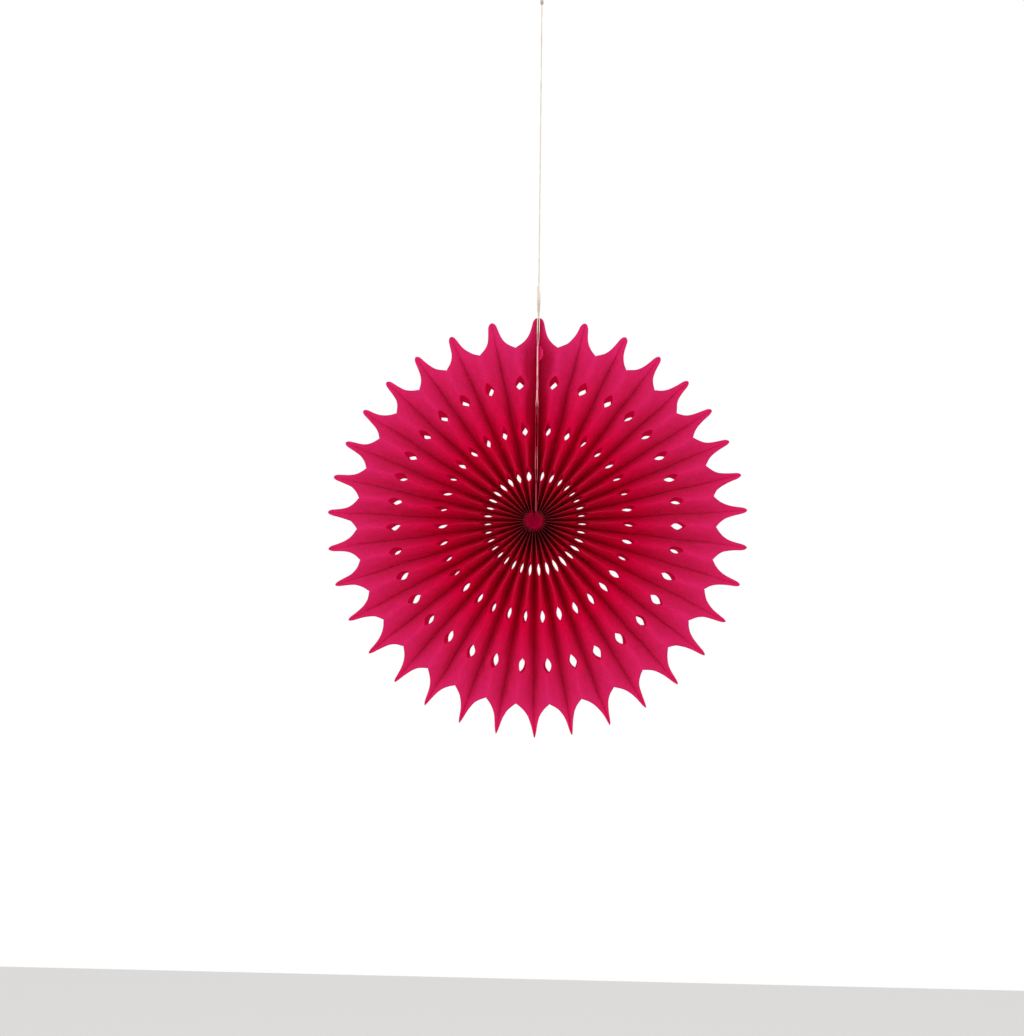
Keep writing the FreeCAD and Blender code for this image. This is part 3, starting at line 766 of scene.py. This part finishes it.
    def end_leaf(self, side: int) -> tuple[np.ndarray, np.ndarray]:
        """Leaf pasted flat on an end board; on the left its edge curls over the seam.

        The curl reaches over as 1 - x squared along the seam, x from -1 to 1, times a smooth
        step from the share where it begins to the edge, and lifts as the sine of that.

        Args:
            side: 1 on the right board, -1 on the left.

        Returns:
            Points and marks of the grid.
        """
        sizes = self.sizes
        radius = sizes.stations()
        radius = radius[radius > self.end_start]
        share = sizes.edge_share(radius)
        half = self.columns(share)
        columns = mirrored(half, -half)
        height = np.sqrt(radius ** 2 - sizes.seam_half ** 2)[:, None] * np.ones_like(columns)
        depth = -sizes.half_width * columns
        across = side * (self.board_face - self.lean.at(radius[:, None], depth))
        if side < 0:
            along = (radius - self.curl_height) / self.curl_half
            curl = np.clip(1 - along ** 2, 0, 1)[:, None] * smooth_step(self.curl_from, 1, columns)
            across = across + self.curl_reach * curl
            depth = depth - self.curl_lift * np.sin(curl * math.pi / 2)
        marks = self.marks(radius, half, share)
        return np.stack([across, depth, height], axis=-1), mirrored(marks, marks)


@dataclass
class Hub:
    """The bonded middle of the stack: a dimpled cap front and back with the wedge gap on top."""

    leaves: PleatedLeaves
    rim_radius: float = 10.5 * MM
    face_depth: float = 24.3 * MM
    flat_radius: float = 7 * MM
    dimple: float = 0.4 * MM
    rim_fall: float = 3.5 * MM
    pleat_height: float = 1.8 * MM
    pleat_band: tuple[float, float] = (4 * MM, 10.5 * MM)
    centre_radius: float = 0.4 * MM
    wedge_foot: float = 1.5 * MM
    wedge_top: float = 12 * MM
    wedge_half: float = 1.2 * MM
    rings: int = 16
    per_cell: int = 6

    def cap(self, face: Face) -> np.ndarray:
        """Cap of one face, in polar rows from the centre outwards.

        The depth is face depth minus a dimple that fades with the square of the radius, plus
        pleats that follow the ridges. Beyond the flat radius it falls away as the distance to
        the power 1.3, so that the ridges of the leaves come out of it.

        Args:
            face: front or back.

        Returns:
            Points of the grid.
        """
        sizes = self.leaves.sizes
        angles = sizes.spike_angles()
        radius = np.linspace(self.centre_radius, self.rim_radius, self.rings)
        steps = np.linspace(0, sizes.cell_count, sizes.cell_count * self.per_cell + 1)
        around = np.interp(steps, np.arange(sizes.cell_count + 1), angles)
        wedge = np.interp(radius, [self.wedge_foot, self.wedge_top], [0, self.wedge_half])
        gap = np.arcsin(np.clip(wedge / radius, 0, 1)) * (radius > self.wedge_foot)
        angle = gap[:, None] + around[None, :] * (math.pi - gap[:, None]) / math.pi
        waves = np.abs(np.sin(math.pi * steps))[None, :] ** 0.8
        grow = smooth_step(*self.pleat_band, radius)[:, None]
        inner = np.clip(radius / self.flat_radius, 0, 1)[:, None]
        outer = (radius - self.flat_radius) / (self.rim_radius - self.flat_radius)
        fall = np.clip(outer, 0, 1)[:, None] ** 1.3
        depth = (self.face_depth - self.dimple * (1 - inner ** 2)
                 + self.pleat_height * grow * (waves - 0.6) - self.rim_fall * fall)
        points = np.stack([radius[:, None] * np.sin(angle), face.value * depth,
                           radius[:, None] * np.cos(angle)], axis=-1)
        shift_x, shift_z = self.leaves.shift(radius)
        points[..., 0] += shift_x[:, None]
        points[..., 2] += shift_z[:, None]
        return points

    def build(self) -> bpy.types.Object:
        """Closed hub: two caps, the wall round them and the two walls of the wedge gap."""
        front, back = self.cap(Face.FRONT), self.cap(Face.BACK)
        parts = MeshParts()
        for cap in (front, back):
            parts.add_grid(cap)
        for one, other in ((front[-1], back[-1]), (front[:, 0], back[:, 0]),
                           (front[:, -1], back[:, -1])):
            parts.add_grid(np.stack([one, other]))
        for cap in (front, back):
            centre = np.broadcast_to(cap[0].mean(axis=0), cap[0].shape)
            parts.add_grid(np.stack([centre, cap[0]]))
        piece = parts.object("tissue_hub")
        solid = bmesh.new()
        solid.from_mesh(piece.data)
        bmesh.ops.remove_doubles(solid, verts=solid.verts, dist=1e-6)
        bmesh.ops.dissolve_degenerate(solid, edges=solid.edges, dist=1e-7)
        bmesh.ops.recalc_face_normals(solid, faces=solid.faces)
        solid.to_mesh(piece.data)
        solid.free()
        piece.data.materials.append(self.leaves.paper.material())
        return piece


# The thread

@dataclass
class Strand:
    """Thread twisted from plies of several sides each, swept along a route."""

    diameter: float
    plies: int = 3
    ply_share: float = 0.54
    lay_length: float = 3.2 * MM
    sides: int = 6
    steps_per_lay: int = 9
    taper_share: float = 0.4

    def sweep(self, route: np.ndarray, parts: MeshParts) -> None:
        """Add the plies along a route.

        Each ply is a tube round the point at (c cos t, c sin t) across the route, where t turns
        once in each lay length, and its ends taper to a point.

        Args:
            route: points of the route, close together.
            parts: what the plies are added to.
        """
        steps = np.linalg.norm(np.diff(route, axis=0), axis=1)
        lengths = np.concatenate([[0.0], np.cumsum(steps)])
        count = max(8, round(lengths[-1] / self.lay_length * self.steps_per_lay))
        place = np.linspace(0, lengths[-1], count + 1)
        middle = np.stack([np.interp(place, lengths, route[:, axis]) for axis in range(3)], -1)
        tangent = np.gradient(middle, axis=0)
        tangent /= np.linalg.norm(tangent, axis=1)[:, None]
        first = np.cross(tangent, np.array([0.0, 1.0, 0.02]))
        first /= np.linalg.norm(first, axis=1)[:, None]
        second = np.cross(tangent, first)
        ply_radius = self.diameter / 2 * self.ply_share
        offset = self.diameter / 2 - ply_radius
        around = np.linspace(0, 2 * math.pi, self.sides, endpoint=False)
        from_end = np.minimum(place, lengths[-1] - place)
        taper = np.clip(from_end / (self.diameter * self.taper_share), 0.02, 1)
        for ply in range(self.plies):
            turn = 2 * math.pi * (place / self.lay_length + ply / self.plies)
            core = middle + offset * (np.cos(turn)[:, None] * first
                                      + np.sin(turn)[:, None] * second)
            ring = (np.cos(around)[None, :, None] * first[:, None]
                    + np.sin(around)[None, :, None] * second[:, None])
            tube = core[:, None] + ply_radius * taper[:, None, None] * ring
            parts.add_grid(tube, wrap=True)
            for end, flip in ((0, True), (-1, False)):
                tip = np.broadcast_to(core[end], tube[end].shape)
                parts.add_grid(np.stack([tube[end], tip]), wrap=True, flip=flip)


def nurbs_points(name: str, corners: list[tuple[float, float, float]]) -> np.ndarray:
    """Points along one open NURBS spline of order 3 with these control points.

    Args:
        name: name of the working curve, which is removed again.
        corners: control points.

    Returns:
        Points of the curve without bevel.
    """
    curve = bpy.data.curves.new(name, "CURVE")
    curve.dimensions = "3D"
    curve.resolution_u = 24
    spline = curve.splines.new("NURBS")
    spline.points.add(len(corners) - 1)
    for point, corner in zip(spline.points, corners):
        point.co = (*corner, 1.0)
    spline.order_u = 3
    spline.use_endpoint_u = True
    carrier = bpy.data.objects.new(name, curve)
    bpy.context.scene.collection.objects.link(carrier)
    bpy.context.view_layer.update()
    mesh = bpy.data.meshes.new_from_object(carrier)
    points = np.empty(len(mesh.vertices) * 3, dtype=np.float32)
    mesh.vertices.foreach_get("co", points)
    bpy.data.objects.remove(carrier)
    bpy.data.curves.remove(curve)
    bpy.data.meshes.remove(mesh)
    return points.reshape(-1, 3).astype(float)


@dataclass
class HangingThread:
    """The taut thread with its two tails, its knot and the loop above it."""

    size: float = 1.1 * MM
    foot: float = 116 * MM
    tip: float = 200 * MM
    knot_foot: float = 510 * MM
    knot_height: float = 4.5 * MM
    knot_size: float = 3.6 * MM
    knot_turns: int = 3
    loop_height: float = 24 * MM
    loop_radius: float = 6 * MM
    clearance: float = 0.05 * MM
    board_gap: float = 1.2 * MM
    tail_hidden: float = 34 * MM
    tail_turn: float = 14 * MM
    tail_bulge: float = 1.12
    left_rise: float = 31 * MM
    right_rise: float = 26 * MM
    cotton: CottonThread = field(default_factory=CottonThread)

    def taut_route(self) -> list[tuple[float, float, float]]:
        """Straight up the seam from the tape pad to the knot."""
        middle = (self.foot + self.knot_foot) / 2
        return [(0, 0, self.foot), (0, 0, middle), (0, 0, self.knot_foot)]

    def tail_route(self, side: int, rise: float) -> list[tuple[float, float, float]]:
        """Inside the seam in front of or behind the thread, then round to its side."""
        pitch = self.size + self.clearance
        room = self.board_gap / 2 - self.size / 2 - self.clearance
        inside = Vector((side * room, side * math.sqrt(pitch ** 2 - room ** 2), 0))
        outside = Vector((side * pitch, 0, 0))
        between = (inside + outside).normalized() * (pitch * self.tail_bulge)
        start = self.tip + self.size
        stops = ((inside, self.tip - self.tail_hidden), (inside, start),
                 (between, start + self.tail_turn / 2), (outside, start + self.tail_turn),
                 (outside, self.tip + rise))
        return [(place.x, place.y, height) for place, height in stops]

    def loop_route(self) -> list[tuple[float, float, float]]:
        """Teardrop from the knot over the top bend and back to the knot."""
        foot = self.knot_foot + self.knot_height
        half = self.size / 2 + self.clearance
        top = foot + self.loop_height
        wide = self.loop_radius
        right = [(half, foot), (wide * 0.72, foot + self.loop_height * 0.45),
                 (wide * 1.12, top - wide * 0.9), (wide * 0.7, top + wide * 0.02)]
        return [(-x, 0, z) for x, z in right] + [(x, 0, z) for x, z in reversed(right)]

    def strand(self, name: str, node: str, corners: list[tuple[float, float, float]],
               material: bpy.types.Material) -> tuple[bpy.types.Object, np.ndarray]:
        """One plied strand in the place of its node."""
        route = nurbs_points(name + "_route", corners)
        parts = MeshParts()
        Strand(self.size).sweep(route, parts)
        piece = parts.object(name)
        dress(piece, node, material)
        return piece, route

    def knot(self, material: bpy.types.Material) -> bpy.types.Object:
        """Overhand knot: three close turns of the thread round its own two strands."""
        share = np.linspace(0, 1, 140)
        angle = 2 * math.pi * self.knot_turns * share
        reach = self.knot_size / 2 - self.size / 2
        low = self.knot_foot + self.size / 2
        high = self.knot_foot + self.knot_height - self.size / 2
        tuck = smooth_step(0, 0.08, share) * (1 - smooth_step(0.92, 1, share))
        around = reach * (0.35 + 0.65 * tuck)
        coil = np.stack([around * np.cos(angle), around * np.sin(angle),
                         low + (high - low) * share], -1)
        core = np.array([[0, 0, self.knot_foot], [0, 0, self.knot_foot + self.knot_height]])
        parts = MeshParts()
        Strand(self.size, steps_per_lay=14).sweep(coil, parts)
        Strand(self.size).sweep(core, parts)
        piece = parts.object("thread_knot")
        dress(piece, "loop_knot", material)
        return piece

    def build(self) -> list[bpy.types.Object]:
        """Every strand and the knot."""
        cotton = self.cotton.material()
        knot = self.knot(cotton)
        taut, route = self.strand("cotton_thread", "hanging_thread", self.taut_route(), cotton)
        pieces = [knot, taut]
        for name, node, side, rise in (
                ("cotton_tail_left", "thread_tail_left", -1, self.left_rise),
                ("cotton_tail_right", "thread_tail_right", 1, self.right_rise)):
            tail, route = self.strand(name, node, self.tail_route(side, rise), cotton)
            pieces.append(tail)
        loop, route = self.strand("cotton_loop", "hanging_loop", self.loop_route(), cotton)
        pieces.append(loop)
        return pieces


@dataclass
class SeamBoards:
    """The two die-cut end boards, with the tape pads between them."""

    leaves: PleatedLeaves
    middle_x: float = 0.9 * MM
    thickness: float = 0.6 * MM
    start: float = 12 * MM
    card: DyedCard = field(default_factory=DyedCard)
    tape: MountingTape = field(default_factory=MountingTape)

    def board(self, name: str, node: str, side: int,
              material: bpy.types.Material) -> bpy.types.Object:
        """One board with the outline of a leaf, leaning in where the seam closes.

        Args:
            name: the piece's name.
            node: the node that it replaces.
            side: 1 on the right, -1 on the left.
            material: the card.

        Returns:
            The board.
        """
        grid = self.leaves.flat_leaf(side, self.middle_x, self.start)
        parts = MeshParts()
        parts.add_grid(grid, flip=side < 0)
        piece = parts.object(name)
        piece.data.polygons.foreach_set("use_smooth", np.zeros(len(piece.data.polygons), bool))
        card = piece.modifiers.new("card", "SOLIDIFY")
        card.thickness = self.thickness
        card.offset = 0.0
        dress(piece, node, material)
        return piece

    def build(self) -> list[bpy.types.Object]:
        """Both boards, and the tape pads dressed as they are."""
        card = self.card.material()
        tape = self.tape.material()
        for name in ("tape_lower", "tape_middle", "tape_upper"):
            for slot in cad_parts[name].material_slots:
                slot.material = tape
        return [self.board("card_board_left", "board_left", -1, card),
                self.board("card_board_right", "board_right", 1, card)]


# Stage, lamps and camera

@dataclass
class Studio:
    """Pale floor and backdrop, soft lamps and the camera."""

    distance: float = 1.27
    foot: tuple[float, float] = (0.03, -0.08)
    fan_width: float = 400 * MM
    fan_pixels: float = 421.5
    fan_centre: tuple[float, float] = (536.4, 525.5)
    roll: float = 0.7
    frame_size: tuple[int, int] = (1024, 1036)
    floor_height: float = -1.5
    floor_half: float = 4.0
    world_light: float = 0.86

    def camera(self) -> bpy.types.Object:
        """Camera in front of the foot point, turned so that the fan falls on its pixels."""
        width, height = self.frame_size
        pixel = self.fan_width / self.fan_pixels
        focal = self.distance / pixel
        data = bpy.data.cameras.new("camera")
        data.sensor_width = 36.0
        data.lens = focal * data.sensor_width / height
        camera = bpy.data.objects.new("camera", data)
        bpy.context.scene.collection.objects.link(camera)
        eye = Vector((self.foot[0], -self.distance, self.foot[1]))
        aim = -eye
        camera.location = eye
        turn = aim.to_track_quat("-Z", "Y").to_matrix()
        right, up = turn.col[0], turn.col[1]
        offset_x = (self.fan_centre[0] - width / 2) * pixel
        offset_y = (self.fan_centre[1] - height / 2) * pixel
        target = up * offset_y - right * offset_x
        camera.rotation_mode = "QUATERNION"
        tilt = Quaternion((0, 0, 1), math.radians(self.roll))
        camera.rotation_quaternion = (target - eye).to_track_quat("-Z", "Y") @ tilt
        data.clip_start = 0.01
        data.clip_end = 20.0
        bpy.context.scene.camera = camera
        return camera

    def paint(self) -> bpy.types.Material:
        """Matt pale paint with a fine grain, for the floor."""
        material, tree, output = new_tree("pale_studio_floor")
        place = add_node(tree, "ShaderNodeTexCoord").outputs["Object"]
        grain = add_node(tree, "ShaderNodeTexNoise", {"Vector": place, "Scale": 180.0})
        bump = add_node(tree, "ShaderNodeBump", {
            "Height": grain.outputs["Fac"], "Strength": 0.05, "Distance": 0.001})
        paint = add_node(tree, "ShaderNodeBsdfPrincipled", {
            "Base Color": colour("E6E4E2"), "Roughness": 0.85,
            "Normal": bump.outputs["Normal"]})
        tree.links.new(paint.outputs[0], output.inputs["Surface"])
        return material

    def build(self) -> None:
        """Floor, world and lamps."""
        half = self.floor_half
        floor = MeshParts()
        floor.add_grid(np.array([[[x, y, self.floor_height] for x in (-half, half)]
                                 for y in (-half, half)]))
        ground = floor.object("studio_floor")
        ground.data.materials.append(self.paint())
        self.world()
        self.lamp("left", (-1.7, -1.5, 0.1), (1.0, 1.6), 22.0)
        self.lamp("right", (1.7, -1.5, 0.0), (1.0, 1.6), 20.0)
        self.lamp("front", (-0.2, -2.2, 0.5), (1.6, 1.2), 10.0)

    def world(self) -> None:
        """Even pale light, white behind the object."""
        world = bpy.data.worlds.new("studio")
        world.use_nodes = True
        tree = world.node_tree
        tree.nodes.clear()
        output = add_node(tree, "ShaderNodeOutputWorld")
        path = add_node(tree, "ShaderNodeLightPath")
        seen = add_node(tree, "ShaderNodeMath", {
            0: path.outputs["Is Camera Ray"], 1: path.outputs["Is Glossy Ray"]},
            operation="MAXIMUM")
        seen = add_node(tree, "ShaderNodeMath", {
            0: seen.outputs[0], 1: path.outputs["Is Transmission Ray"]}, operation="MAXIMUM")
        light = add_node(tree, "ShaderNodeBackground", {
            "Color": colour("FFFFFF"), "Strength": self.world_light})
        white = add_node(tree, "ShaderNodeBackground", {
            "Color": colour("FFFFFF"), "Strength": 1.0})
        mixed = add_node(tree, "ShaderNodeMixShader", {
            0: seen.outputs[0], 1: light.outputs[0], 2: white.outputs[0]})
        tree.links.new(mixed.outputs[0], output.inputs["Surface"])
        bpy.context.scene.world = world

    def lamp(self, name: str, place: tuple[float, float, float], size: tuple[float, float],
             power: float) -> None:
        """Soft area lamp aimed at the fan.

        Args:
            name: the lamp's name.
            place: where it stands.
            size: width and height of its face.
            power: watts.
        """
        data = bpy.data.lights.new("lamp_" + name, "AREA")
        data.shape = "RECTANGLE"
        data.size, data.size_y = size
        data.energy = power
        lamp = bpy.data.objects.new("lamp_" + name, data)
        lamp.location = place
        lamp.rotation_mode = "QUATERNION"
        lamp.rotation_quaternion = (-Vector(place)).to_track_quat("-Z", "Y")
        bpy.context.scene.collection.objects.link(lamp)


def main() -> None:
    """Build the camera, the thread, the fan and the studio, and report each piece."""
    logging.basicConfig(level=logging.INFO, format="%(name)s: %(message)s")
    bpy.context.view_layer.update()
    studio = Studio()
    studio.camera()
    pieces = HangingThread().build()
    leaves = PleatedLeaves()
    tissue = leaves.build() + [Hub(leaves).build()]
    for piece in tissue:
        dress(piece, "tissue_rosette")
    for piece in pieces + tissue + SeamBoards(leaves).build():
        LOG.info("%s: %d faces", piece.name, len(piece.data.polygons))
    studio.build()
    scene = bpy.context.scene
    scene.view_settings.view_transform = "Standard"


if __name__ == "__main__":
    main()
